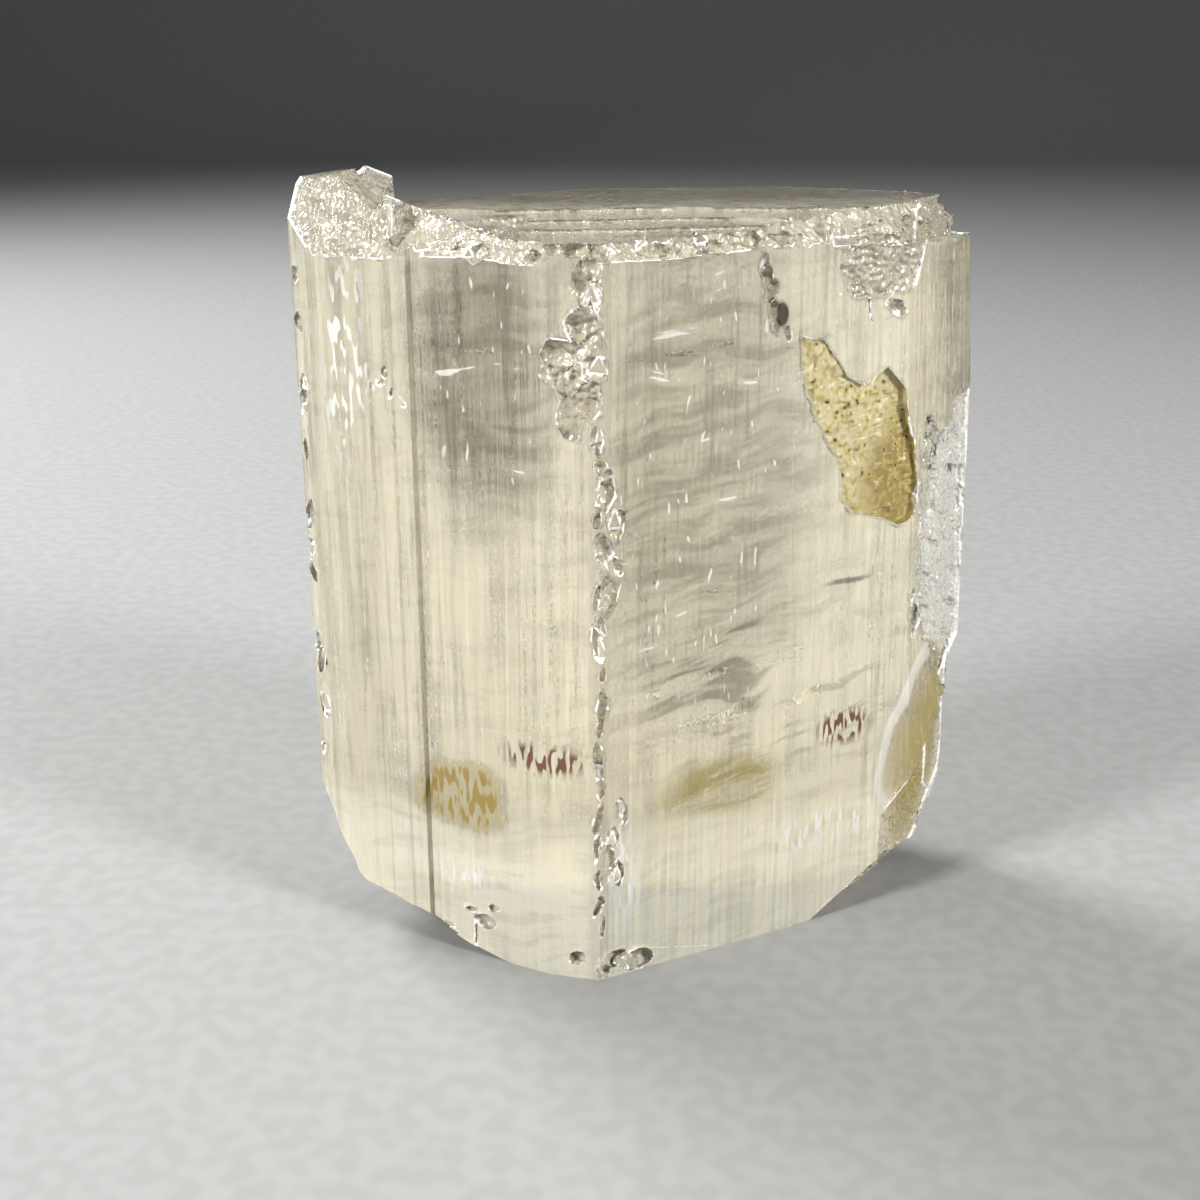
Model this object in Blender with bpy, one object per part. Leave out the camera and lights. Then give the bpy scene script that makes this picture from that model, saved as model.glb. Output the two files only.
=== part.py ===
"""Topaz crystal: a stout prism with a basal cleavage face on top, a chipped rim and a broken foot.

Run it with blender --background --python part.py, or from Blender's text editor.
Metres, +Z up. The crystal stands on the origin, which is the bottom centre of its box.
The obtuse prism edge, called the nose, faces -Y. All places below are measured from the foot of
the nose, and the finished crystal is moved to the origin at the end.
"""

import math
import random

import bmesh
import bpy
from mathutils import Matrix, Vector, noise

MM = 0.001
NAME = "topaz_crystal"

# Plan: each prism face makes a fixed angle with the crystal's b axis, which runs left to right
M_ANGLE = 27.85
L_ANGLE = 46.6
B_AXIS_TURN = 2.0
NOSE_BAND_ANGLE = 12.0
NOSE_BAND_X = -1.9 * MM
LEFT_M_END_X = -10.3 * MM
LEFT_X = -11.6 * MM
RIGHT_M_END_X = 11.7 * MM
RIGHT_X = 14.8 * MM
BACK_Y = 14.4 * MM
BACK_LEFT_L_LENGTH = 6.0 * MM
BACK_RIGHT_L_LENGTH = 3.0 * MM
LEDGE_RUN = 0.12 * MM

# Height: the prism flares to the right as it goes down, by this share of x for each metre of drop
RIM_Z = 28.0 * MM
FLARE_PER_M = 5.4
CLEAVAGE_Z = 28.95 * MM
CLEAVAGE_SLOPE = 0.03
CLEAVAGE_RISE_RIGHT = 0.008
KNOB_TOP_Z = 30.75 * MM
FOOT_MARGIN = 1.5 * MM

# Cutters run on past what they cut: sideways by REACH, and up or down by CUT_HEIGHT
REACH = 30 * MM
CUT_HEIGHT = 6 * MM
WELD_DISTANCE = 0.001 * MM

CRYSTAL_COLOR = (0.80, 0.74, 0.58, 1.0)
CRYSTAL_ROUGHNESS = 0.12
SEED = 11

# How far, as a share of their spacing, what is evenly spaced is moved about
UNEVEN = 0.3


def heading(degrees):
    """The plan direction at an angle from +X, anticlockwise seen from above."""
    angle = math.radians(degrees)
    return Vector((math.cos(angle), math.sin(angle)))


def walk_to_x(start, degrees, x):
    """Where a line from start along a heading reaches x."""
    direction = heading(degrees)
    return start + direction * ((x - start.x) / direction.x)


def walk_to_y(start, degrees, y):
    """Where a line from start along a heading reaches y."""
    direction = heading(degrees)
    return start + direction * ((y - start.y) / direction.y)


def prism_corners():
    """The plan's corners, anticlockwise from the nose."""
    turn = B_AXIS_TURN
    nose = Vector((0.0, 0.0))
    right_m_end = walk_to_x(nose, turn + M_ANGLE, RIGHT_M_END_X)
    right = walk_to_x(right_m_end, turn + L_ANGLE, RIGHT_X)
    back_right = right + heading(180 + turn - L_ANGLE) * BACK_RIGHT_L_LENGTH
    back_right_end = walk_to_y(back_right, 180 + turn - M_ANGLE, BACK_Y)
    band_end = walk_to_x(nose, 180 - NOSE_BAND_ANGLE, NOSE_BAND_X)
    left_m_end = walk_to_x(band_end, 180 + turn - M_ANGLE, LEFT_M_END_X)
    left = walk_to_x(left_m_end, 180 + turn - L_ANGLE, LEFT_X)
    back_left = left + heading(turn + L_ANGLE) * BACK_LEFT_L_LENGTH
    back_left_end = walk_to_y(back_left, turn + M_ANGLE, BACK_Y)
    return [
        nose,
        right_m_end,
        right,
        back_right,
        back_right_end,
        back_left_end,
        back_left,
        left,
        left_m_end,
        band_end,
    ]


CORNERS = prism_corners()

# Growth ledges: (place along the face as a share of it, how far the wall is set in beyond it).
# They are listed for the front faces; the hidden faces get a number of them and a greatest depth.
RIGHT_M_LEDGES = [(0.12, 0.03), (0.39, 0.06), (0.60, 0.12), (0.86, 0.05)]
RIGHT_L_LEDGES = [(0.30, 0.07), (0.72, 0.0)]
LEFT_L_LEDGES = [(0.55, 0.06)]
LEFT_M_LEDGES = [(0.0, 0.06), (0.12, 0.16), (0.21, 0.10), (0.30, 0.18), (0.385, 0.36), (0.446, 0.0)]
LEFT_M_LEDGES += [(0.62, 0.04), (0.80, 0.0)]
HIDDEN_LEDGES = [(2, 0.08), (4, 0.12), (6, 0.10), (4, 0.14), (5, 0.12)]


def hidden_ledges(count, depth, rng):
    """Ledges at uneven places, the last of them back at the face's own plane."""
    places = [(k + 0.5 + rng.uniform(-UNEVEN, UNEVEN)) / count for k in range(count)]
    depths = [depth * rng.random() for k in range(count - 1)] + [0.0]
    return list(zip(places, depths))


def ledged_outline(rng):
    """The plan with its growth ledges: low steps that run up the prism as vertical lines."""
    hidden = [hidden_ledges(count, depth, rng) for count, depth in HIDDEN_LEDGES]
    ledges = [RIGHT_M_LEDGES, RIGHT_L_LEDGES, *hidden, LEFT_L_LEDGES, LEFT_M_LEDGES, []]
    points = []
    for i, steps in enumerate(ledges):
        start = CORNERS[i]
        end = CORNERS[(i + 1) % len(CORNERS)]
        along = (end - start).normalized()
        inward = Vector((-along.y, along.x))
        length = (end - start).length
        points.append(start.copy())
        offset = 0.0
        for share, set_in in steps:
            place = length * share
            points.append(start + along * place + inward * offset)
            offset = set_in * MM
            points.append(start + along * (place + LEDGE_RUN) + inward * offset)
    return points


def flare(z):
    """How much wider the prism's right side is at z than at the rim."""
    return 1 + FLARE_PER_M * (RIM_Z - z)


def wall_at(x, z, front=True):
    """The point of the front or back wall at x and z, and the wall's outward direction there."""
    point, outward = plan_wall(x / flare(z) if x > 0 else x, front)
    return Vector((x, point.y)), outward


def plan_wall(x, front):
    """The same on the plan, at the rim's height."""
    best = None
    for i, start in enumerate(CORNERS):
        end = CORNERS[(i + 1) % len(CORNERS)]
        low, high = sorted((start.x, end.x))
        if not low <= x <= high or high - low < 1e-9:
            continue
        point = start.lerp(end, (x - start.x) / (end.x - start.x))
        along = (end - start).normalized()
        outward = Vector((along.y, -along.x))
        if best is None or (point.y < best[0].y) == front:
            best = (point, outward)
    return best


def wall_frame(x, z, front=True):
    """A matrix on the wall: local X along it, local Y outward, local Z up."""
    point, outward = wall_at(x, z, front)
    out = Vector((outward.x, outward.y, 0.0))
    up = Vector((0.0, 0.0, 1.0))
    along = out.cross(up)
    turned = Matrix((along, out, up)).transposed().to_4x4()
    return Matrix.Translation((point.x, point.y, z)) @ turned


def clear_scene():
    for obj in list(bpy.data.objects):
        bpy.data.objects.remove(obj, do_unlink=True)


def new_collection(name):
    collection = bpy.data.collections.new(name)
    bpy.context.scene.collection.children.link(collection)
    return collection


def object_from(name, bm, collection, cutter=True):
    """A bmesh as an object, with its normals out. A cutter isn't rendered."""
    bm.normal_update()
    bmesh.ops.recalc_face_normals(bm, faces=bm.faces)
    for face in bm.faces:
        face.smooth = False
    mesh = bpy.data.meshes.new(name)
    bm.to_mesh(mesh)
    bm.free()
    obj = bpy.data.objects.new(name, mesh)
    collection.objects.link(obj)
    if cutter:
        obj.hide_render = True
        obj.display_type = "WIRE"
    return obj


def extruded(name, outline, low, high, collection, matrix=None, cutter=True):
    """A flat outline extruded along local Z from low to high, as a closed mesh."""
    curve = bpy.data.curves.new(name, "CURVE")
    curve.dimensions = "2D"
    curve.fill_mode = "BOTH"
    curve.extrude = (high - low) / 2
    spline = curve.splines.new("POLY")
    spline.points.add(len(outline) - 1)
    for point, (x, y) in zip(spline.points, outline):
        point.co = (x, y, 0.0, 1.0)
    spline.use_cyclic_u = True
    guide = bpy.data.objects.new(name + "_guide", curve)
    bpy.context.scene.collection.objects.link(guide)
    graph = bpy.context.evaluated_depsgraph_get()
    mesh = bpy.data.meshes.new_from_object(guide.evaluated_get(graph))
    bpy.data.objects.remove(guide)
    bpy.data.curves.remove(curve)
    bm = bmesh.new()
    bm.from_mesh(mesh)
    bpy.data.meshes.remove(mesh)
    bmesh.ops.remove_doubles(bm, verts=bm.verts, dist=WELD_DISTANCE)
    place = (matrix or Matrix.Identity(4)) @ Matrix.Translation((0, 0, (low + high) / 2))
    bm.transform(place)
    return object_from(name, bm, collection, cutter)


def ragged(points, step, amount, rng):
    """A closed outline with extra points every step, each pushed about by up to amount."""
    made = []
    for i, start in enumerate(points):
        end = points[(i + 1) % len(points)]
        count = max(1, round((end - start).length / step))
        made += [start.lerp(end, k / count) for k in range(count)]
    return [p + Vector((rng.uniform(-1, 1), rng.uniform(-1, 1))) * amount for p in made]


CHIP_DENT = 0.16
SMOOTH_CHIP_DENT = 0.07


def chip(name, matrix, radii, rng, collection, detail=1, jitter=CHIP_DENT):
    """A cutter for one shell-like chip: a dented ball with flat facets."""
    bm = bmesh.new()
    bmesh.ops.create_icosphere(bm, subdivisions=detail, radius=1.0)
    spin = Matrix.Rotation(rng.uniform(0, math.tau), 4, "Z")
    tip = Matrix.Rotation(rng.uniform(0, math.pi), 4, "X")
    bm.transform(spin @ tip)
    for vert in bm.verts:
        vert.co *= 1 + rng.uniform(-jitter, jitter)
    bm.transform(matrix @ Matrix.Diagonal((*radii, 1.0)))
    return object_from(name, bm, collection)


# The roughness of a break: a coarse wave, and a fine one this much narrower and lower
BREAK_WAVE = 3.2 * MM
FINE_WAVE_RATIO = 2.7
FINE_WAVE_SHARE = 0.45
FINE_WAVE_SHIFT = Vector((5.1, 1.7, 0.0))


def break_slab(name, point, normal, half_sizes, cells, roughness, seed, collection, bowl=0.0, roll=0.0):
    """A cutter that takes off all beyond a rough rectangle.

    normal points out of the crystal. half_sizes are level and up the slope.
    """
    bm = bmesh.new()
    bmesh.ops.create_grid(bm, x_segments=cells[0], y_segments=cells[1], size=1.0)
    bm.transform(Matrix.Diagonal((*half_sizes, 1.0, 1.0)))
    half_size = max(half_sizes)
    for vert in bm.verts:
        at = Vector((vert.co.x, vert.co.y, seed * 10 * MM)) / BREAK_WAVE
        coarse = noise.noise(at)
        fine = noise.noise(at * FINE_WAVE_RATIO + FINE_WAVE_SHIFT)
        dish = bowl * (vert.co.x**2 + vert.co.y**2) / half_size**2
        vert.co.z = roughness * (coarse + FINE_WAVE_SHARE * fine) + dish
    made = bmesh.ops.extrude_face_region(bm, geom=bm.faces[:], use_keep_orig=True)
    lifted = [item for item in made["geom"] if isinstance(item, bmesh.types.BMVert)]
    for vert in lifted:
        vert.co.z = half_size
    turned = Vector(normal).normalized().to_track_quat("Z", "Y").to_matrix().to_4x4()
    rolled = Matrix.Rotation(math.radians(roll), 4, "Z")
    bm.transform(Matrix.Translation(point) @ turned @ rolled)
    return object_from(name, bm, collection)


# The plan border between the knob and its ridge, on the left, and the cleavage face. Millimetres.
KNOB_BORDER = [
    (-3.3, -24.0), (-3.4, 2.2), (-3.8, 2.8), (-4.4, 3.2), (-5.2, 3.5), (-6.2, 4.3), (-7.3, 4.7),
    (-8.0, 5.4), (-7.9, 6.4), (-8.2, 7.6), (-7.9, 8.8), (-8.3, 10.2), (-7.8, 11.4), (-7.0, 24.0),
]

# The ridge from the knob along the front: where its crest starts, how it falls for each unit to the
# right, and the outline, from that start, over which it is cut down. Millimetres.
RIDGE_START_X = -8.0 * MM
RIDGE_START_Z = 29.85 * MM
RIDGE_FALL = 0.26
RIDGE_OUTLINE = [
    (0.1, -6.0), (5.3, -6.0), (5.3, 6.5), (0.2, 6.5), (-0.1, 5.4), (0.1, 4.6), (-0.3, 3.6),
]


def cleavage_tilt():
    """The cleavage face rises a little towards the back and the right."""
    return Matrix.Rotation(math.atan(CLEAVAGE_SLOPE), 4, "X") @ Matrix.Rotation(
        -math.atan(CLEAVAGE_RISE_RIGHT), 4, "Y"
    )


def cleavage_cutter(collection):
    """Takes off the top above the cleavage face, all but the knob at the left corner."""
    border = [Vector(p) * MM for p in KNOB_BORDER]
    far_side = [Vector((REACH, REACH)), Vector((REACH, -REACH))]
    place = Matrix.Translation((0, 0, CLEAVAGE_Z)) @ cleavage_tilt()
    extruded("cleavage_cut", border + far_side, 0.0, CUT_HEIGHT, collection, place)


def ridge_cutter(collection):
    """Slopes the ridge that runs from the knob down to the nose."""
    outline = [Vector(p) * MM for p in RIDGE_OUTLINE]
    slope = Matrix.Rotation(math.atan(RIDGE_FALL), 4, "Y")
    place = Matrix.Translation((RIDGE_START_X, 0, RIDGE_START_Z)) @ slope
    extruded("ridge_cut", outline, 0.0, CUT_HEIGHT, collection, place)


# Low steps down the cleavage face towards the nose: how far each drops, the (x, y) line that it
# follows, and how many points of the knob's border bound it on the left. Millimetres.
TERRACES = [
    (0.14, [(-7.7, 7.5), (-4.0, 6.9), (1.5, 7.4), (7.0, 6.9), (16.0, 8.0)], 9),
    (0.13, [(-7.2, 5.3), (-3.0, 4.6), (2.0, 5.3), (8.0, 4.9), (12.0, 5.6), (16.0, 5.9)], 7),
    (0.15, [(-4.2, 3.6), (-2.4, 3.3), (0.5, 3.2), (5.0, 3.9), (9.5, 4.4)], 4),
]
TERRACE_CLEARANCE = 0.12 * MM
TERRACE_WAVE = 0.13 * MM
TERRACE_FRONT_Y = -6 * MM
TERRACE_CUT_HEIGHT = 1.0 * MM
TERRACE_STEPS = 4


def terrace_cutters(rng, collection):
    """Each lowers the cleavage face in front of its line by a little more."""
    drop = 0.0
    for i, (step, line, border_count) in enumerate(TERRACES):
        drop += step * MM
        line_points = [Vector(p) * MM for p in line]
        wavy = []
        for a, b in zip(line_points, line_points[1:]):
            wavy += [a.lerp(b, k / TERRACE_STEPS) for k in range(TERRACE_STEPS)]
        wavy = [p + Vector((0, rng.uniform(-1, 1) * TERRACE_WAVE)) for p in wavy]
        wavy.append(line_points[-1])
        knob_side = [Vector(p) * MM for p in KNOB_BORDER[1:border_count]]
        knob_side = [p + Vector((TERRACE_CLEARANCE, 0)) for p in knob_side]
        front = [Vector((x, TERRACE_FRONT_Y)) for x in (wavy[-1].x, knob_side[0].x)]
        outline = wavy + front + knob_side
        place = Matrix.Translation((0, 0, CLEAVAGE_Z - drop)) @ cleavage_tilt()
        extruded(f"terrace_cut_{i + 1}", outline, 0.0, TERRACE_CUT_HEIGHT, collection, place)


def build_prism(rng, collection):
    """The whole prism before anything breaks off it, with its right side flared."""
    outline = ledged_outline(rng)
    prism = extruded(NAME, outline, -FOOT_MARGIN, KNOB_TOP_Z, collection, cutter=False)
    for vert in prism.data.vertices:
        if vert.co.x > 0:
            vert.co.x *= flare(vert.co.z)
    return prism


# Planes that the crystal broke along: name, a point, the way out, half sizes level and up the slope,
# bowl, roughness and roll. Lengths are in millimetres; bowl is how far a plane's rim stands behind its
# middle, and roll turns it about the way out, in degrees.
BREAKS = [
    ("left_upper", (-11.35, 6.0, 5.2), (-0.93, -0.16, -0.34), (15, 15), -0.2, 0.30, 0),
    ("left_middle", (-9.9, 5.0, 2.45), (-0.72, 0.10, -0.69), (15, 15), -0.2, 0.28, 0),
    ("left_lower", (-7.0, 3.5, 1.05), (-0.37, -0.12, -0.92), (15, 15), -0.2, 0.22, 0),
    ("right_lower", (10.2, 5.1, 1.1), (0.607, -0.479, -0.634), (15, 15), -0.2, 0.20, 0),
    ("right_corner", (15.44, 11.42, 3.3), (0.75, 0.15, -0.64), (15, 15), -0.2, 0.26, 0),
    ("right_side", (16.88, 13.31, 3.4), (0.795, -0.606, 0.0), (7, 7), 0.3, 0.20, 48),
    ("back_foot", (1.0, 13.4, 1.3), (0.10, 0.62, -0.78), (15, 15), -0.4, 0.34, 0),
    ("back_left_foot", (-8.2, 10.2, 3.0), (-0.60, 0.55, -0.58), (15, 15), -0.5, 0.34, 0),
    ("back_right_foot", (12.2, 12.4, 2.6), (0.45, 0.66, -0.60), (15, 15), -0.4, 0.30, 0),
    ("knob_top", (-9.6, 8.0, 30.55), (-0.12, 0.0, 1.0), (6, 6), 0.0, 0.09, 0),
    ("knob_corner", (-11.42, 6.0, 30.25), (-0.75, -0.10, 0.66), (3, 3), 0.0, 0.06, 0),
    ("knob_front", (-10.0, 5.25, 29.60), (-0.41, -0.85, 0.32), (3.1, 2.0), 0.0, 0.10, 0),
    ("knob_side", (-8.75, 8.0, 30.40), (0.62, -0.12, 0.78), (5.5, 1.5), 0.0, 0.12, 0),
]
BREAK_CELLS_PER_MM = 1.1
SMALL_BREAK_CELLS = 9


def foot_breaks(collection):
    """The flat foot."""
    square = [Vector(p) * REACH for p in ((-1, -1), (1, -1), (1, 1), (-1, 1))]
    extruded("foot_cut", square, -CUT_HEIGHT, 0.0, collection)


def breaks(collection):
    """The rough planes that rise from the foot on every side, and the ones round the knob."""
    for i, (name, point, way_out, half_sizes, bowl, roughness, roll) in enumerate(BREAKS):
        break_slab(
            name + "_break",
            Vector(point) * MM,
            way_out,
            [half * MM for half in half_sizes],
            [max(SMALL_BREAK_CELLS, round(2 * half * BREAK_CELLS_PER_MM)) for half in half_sizes],
            roughness * MM,
            i,
            collection,
            bowl * MM,
            roll,
        )


# The frosted bevel along the front of the cleavage face: x of its middle, z and inset from the wall
# of its lower edge, its rise for each unit in, and its half length. Millimetres.
BEVELS = [
    (-4.9, 27.80, -0.05, 1.1, 2.9),
    (0.9, 27.85, -0.05, 1.3, 3.1),
    (6.2, 27.90, -0.05, 1.3, 2.7),
    (10.9, 28.22, 0.44, 1.25, 2.45),
    (14.0, 28.63, 0.65, 1.15, 1.7),
]
BEVEL_ROUGHNESS = 0.10 * MM
BEVEL_CELLS_PER_MM = 2.4
BEVEL_SEED = 20


def bevels(collection):
    for i, (x, z, inset, steepness, half_length) in enumerate(BEVELS):
        point, outward = wall_at(x * MM, z * MM)
        out = Vector((*outward, 0.0))
        up_slope = (Vector((0, 0, steepness)) - out).normalized()
        lower_edge = Vector((point.x, point.y, z * MM)) - out * inset * MM
        middle = lower_edge + up_slope * half_length * MM
        way_out = out * steepness + Vector((0, 0, 1))
        cells = [round(2 * half_length * BEVEL_CELLS_PER_MM)] * 2
        sizes = [half_length * MM] * 2
        seed = BEVEL_SEED + i
        break_slab(f"bevel_{i + 1}", middle, way_out, sizes, cells, BEVEL_ROUGHNESS, seed, collection)


# The cleavage layer is set back from the right wall by these (x, inset) steps, above this height.
RIM_STEP_Z = 27.95 * MM
RIM_STEP = [
    (8.3, -0.05), (8.9, 0.3), (9.8, 0.36), (10.8, 0.48), (11.8, 0.45), (12.7, 0.62), (13.4, 0.58),
]
RIM_STEP_END = [(13.95, 9.95), (14.1, 10.35), (13.75, 10.8), (13.0, 11.4), (12.5, 12.3), (12.6, 13.4)]
RIM_STEP_OUTSIDE = [(16.0, 16.0), (19.0, 10.0), (15.0, 6.0), (9.0, 2.5)]
RIM_STEP_JITTER = 0.06 * MM


def rim_step(rng, collection):
    """The ledge that is left round the right end of the cleavage layer."""
    inner = []
    for x, inset in RIM_STEP:
        point, outward = wall_at(x * MM, RIM_Z)
        inner.append(point - outward * inset * MM)
    inner += [Vector(p) * MM for p in RIM_STEP_END]
    rough = [p + Vector((rng.uniform(-1, 1), rng.uniform(-1, 1))) * RIM_STEP_JITTER for p in inner]
    outline = rough + [Vector(p) * MM for p in RIM_STEP_OUTSIDE]
    extruded("rim_step", outline, RIM_STEP_Z, RIM_STEP_Z + CUT_HEIGHT, collection)


# Chips along the front rim, in millimetres: where they start and end, and least and greatest radii
# along, into and up the wall. From DEEPER_FROM_X, over DEEPER_RUN, they grow deeper and sit higher.
RIM_CHIP_X = (-7.4, 14.2)
RIM_CHIP_RADII = ((0.30, 0.70), (0.45, 0.75), (0.25, 0.50))
RIM_CHIP_SPACING = (0.55, 0.85)
RIM_CHIP_RISE = 0.35
RIM_CHIP_SPREAD = 0.25
DEEPER_FROM_X = 6.0
DEEPER_RUN = 5.0
DEEPER_BY = 0.15
HIGHER_BY = 0.60


def rim_chips(rng, collection):
    """The ragged bevel along the front of the cleavage face, deeper towards the right."""
    x, end = RIM_CHIP_X
    i = 0
    while x < end:
        deep = min(1.0, max(0.0, (x - DEEPER_FROM_X) / DEEPER_RUN))
        along, into, up = [rng.uniform(*limits) for limits in RIM_CHIP_RADII]
        radii = Vector((along, into + DEEPER_BY * deep, up)) * MM
        rise = RIM_CHIP_RISE + HIGHER_BY * deep + rng.uniform(-RIM_CHIP_SPREAD, RIM_CHIP_SPREAD)
        chip(f"rim_chip_{i + 1}", wall_frame(x * MM, RIM_Z + rise * MM), radii, rng, collection)
        x += rng.uniform(*RIM_CHIP_SPACING)
        i += 1


# Chips along the back rim: how many, between which x, and their radii, in millimetres
BACK_RIM_COUNT = 18
BACK_RIM_X = (-7.192, 14.06)
BACK_RIM_RADII = ((0.5, 1.2), (0.2, 0.4), (0.2, 0.4))
BACK_RIM_RISE = 0.15


def back_rim_chips(rng, collection):
    """Fewer, smaller chips along the rim's far side."""
    left, right = BACK_RIM_X
    for i in range(BACK_RIM_COUNT):
        share = (i + 0.5 + rng.uniform(-UNEVEN, UNEVEN)) / BACK_RIM_COUNT
        x = (left + (right - left) * share) * MM
        radii = Vector([rng.uniform(*limits) for limits in BACK_RIM_RADII]) * MM
        wall_y = wall_at(x, RIM_Z, front=False)[0].y
        z = CLEAVAGE_Z + CLEAVAGE_SLOPE * wall_y + rng.uniform(0.0, BACK_RIM_RISE) * MM
        matrix = wall_frame(x, z, front=False)
        chip(f"back_rim_chip_{i + 1}", matrix, radii, rng, collection)


# The knob is what is left of the layer above the cleavage: chips round its top. Millimetres.
KNOB_CHIPS = [
    ((-7.5, 7.6, 30.9), (0.7, 1.6, 0.9)),
    ((-7.4, 10.0, 30.9), (0.9, 1.4, 1.0)),
    ((-9.2, 10.8, 31.0), (2.2, 1.3, 1.1)),
    ((-8.3, 4.6, 30.5), (0.8, 0.6, 0.6)),
    ((-9.4, 8.0, 31.2), (0.9, 1.0, 0.85)),
    ((-10.2, 4.6, 30.2), (0.7, 0.5, 0.5)),
]


def knob_chips(rng, collection):
    for i, (place, radii) in enumerate(KNOB_CHIPS):
        size = Vector(radii) * MM
        at = Matrix.Translation(Vector(place) * MM)
        chip(f"knob_chip_{i + 1}", at, size, rng, collection, detail=2, jitter=SMOOTH_CHIP_DENT)


CHIP_SIZE_SPREAD = (0.7, 1.3)
CHIP_TILT = 0.4


def scatter(name, places, size, rng, collection, front=True):
    """One small chip at each (x, z) of places, in millimetres. size: along, deep and up."""
    for i, (x, z) in enumerate(places):
        radii = Vector(size) * rng.uniform(*CHIP_SIZE_SPREAD) * MM
        radii.x *= rng.uniform(*CHIP_SIZE_SPREAD)
        radii.z *= rng.uniform(*CHIP_SIZE_SPREAD)
        tilt = Matrix.Rotation(rng.uniform(-CHIP_TILT, CHIP_TILT), 4, "Y")
        matrix = wall_frame(x * MM, z * MM, front) @ tilt
        chip(f"{name}_{i + 1}", matrix, radii, rng, collection)


def within(count, x_range, z_range, lean, rng):
    """Places spread over a stretch of wall, leaning by lean of x for each step down."""
    made = []
    for k in range(count):
        z = z_range[0] + (z_range[1] - z_range[0]) * (k + rng.random()) / count
        made.append((rng.uniform(*x_range) + lean * (z_range[1] - z), z))
    return made


# Fields of small chips: name, how many, x range, z range, lean, size along, deep and up, and whether
# they are on the front. Millimetres. The nose has a tongue of chips from the rim, then fine ones.
NOSE_FIELDS = [
    ("tongue_upper", 9, (-0.7, 0.2), (25.0, 28.0), 0.0, (0.45, 0.28, 0.7), True),
    ("tongue_lower", 9, (-1.6, 0.1), (22.6, 25.2), 0.0, (0.5, 0.25, 0.6), True),
    ("nose_shell", 7, (0.0, 0.7), (15.6, 20.6), 0.0, (0.4, 0.2, 0.7), True),
    ("nose_fine", 26, (-0.12, 0.12), (1.6, 22.4), 0.0, (0.2, 0.16, 0.5), True),
    ("nose_low", 4, (0.2, 1.2), (3.6, 7.6), 0.0, (0.4, 0.16, 0.7), True),
]
FACE_FIELDS = [
    ("side_bruise", 24, (12.6, 15.0), (12.0, 21.0), 0.03, (0.26, 0.16, 0.9), True),
    ("upper_bruise", 9, (8.6, 12.4), (24.0, 26.6), 0.0, (0.4, 0.12, 0.3), True),
    ("left_edge", 12, (-11.55, -11.2), (7.0, 28.0), 0.0, (0.3, 0.14, 0.6), True),
    ("left_foot", 6, (-9.0, -3.6), (0.6, 2.4), 0.0, (0.6, 0.2, 0.3), True),
    ("back_left", 12, (-6.6, -4.4), (4.0, 28.0), 0.0, (0.5, 0.22, 0.9), False),
    ("notch", 6, (14.9, 15.9), (10.4, 12.4), 0.0, (0.5, 0.3, 0.5), True),
    ("back_right", 10, (11.2, 13.2), (4.0, 28.0), 0.0, (0.4, 0.2, 0.9), False),
]

# Chips at chosen (x, z) places of the front, and their size
PITS = [
    ("tip", [(-0.9, 0.9), (0.6, 0.8), (0.1, 0.3), (1.5, 0.5)], (0.6, 0.4, 0.5)),
    ("star_pit", [(-8.2, 23.2), (-7.7, 22.9), (-8.0, 23.6), (-7.4, 22.5), (-8.6, 23.0)], (0.32, 0.2, 0.34)),
    (
        "crack_pit",
        [(6.0, 27.5), (6.15, 27.0), (6.3, 26.5), (6.4, 25.9), (6.55, 25.3), (7.0, 24.9)],
        (0.22, 0.3, 0.4),
    ),
]


def chip_fields(fields, rng, collection):
    for name, count, x_range, z_range, lean, size, front in fields:
        places = within(count, x_range, z_range, lean, rng)
        scatter(name, places, size, rng, collection, front)


def face_chips(rng, collection):
    """The worn nose edge, and the pits and bruises of the faces."""
    chip_fields(NOSE_FIELDS, rng, collection)
    for name, places, size in PITS:
        scatter(name, places, size, rng, collection)
    chip_fields(FACE_FIELDS, rng, collection)


# Thin flakes lost from the right wall: their (x, z) outlines in millimetres
STAIN_SCAR = [
    (7.5, 24.7), (8.6, 24.5), (9.5, 23.1), (10.2, 22.7), (11.2, 23.3), (12.0, 22.4), (12.3, 20.8),
    (12.8, 18.6), (12.8, 17.3), (12.0, 16.8), (11.0, 17.3), (10.0, 17.6), (9.5, 18.2), (9.3, 19.9),
    (8.3, 21.7), (7.8, 23.2),
]
SIDE_SCAR = [
    (13.0, 21.4), (14.0, 21.7), (17.6, 21.6), (18.2, 8.6), (16.0, 8.2), (14.4, 9.4), (13.2, 12.6),
    (12.9, 16.0), (13.1, 19.0),
]
RIM_SCAR = [
    (9.0, 27.2), (9.6, 28.4), (13.8, 28.6), (13.5, 27.2), (12.9, 26.4), (11.8, 26.2), (10.6, 25.9),
    (9.6, 26.1),
]

# The scars: outline, the (x, z) whose wall each lies in, and how deep it goes
SCARS = [
    ("stain_scar", STAIN_SCAR, (10.0, 21.0), 0.26),
    ("rim_scar", RIM_SCAR, (11.4, 27.0), 0.18),
    ("side_scar", SIDE_SCAR, (14.6, 16.0), 0.32),
]
SCAR_EDGE_STEP = 0.6 * MM
SCAR_EDGE_JITTER = 0.10 * MM
SCAR_CLEARANCE = 1.0 * MM


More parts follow.
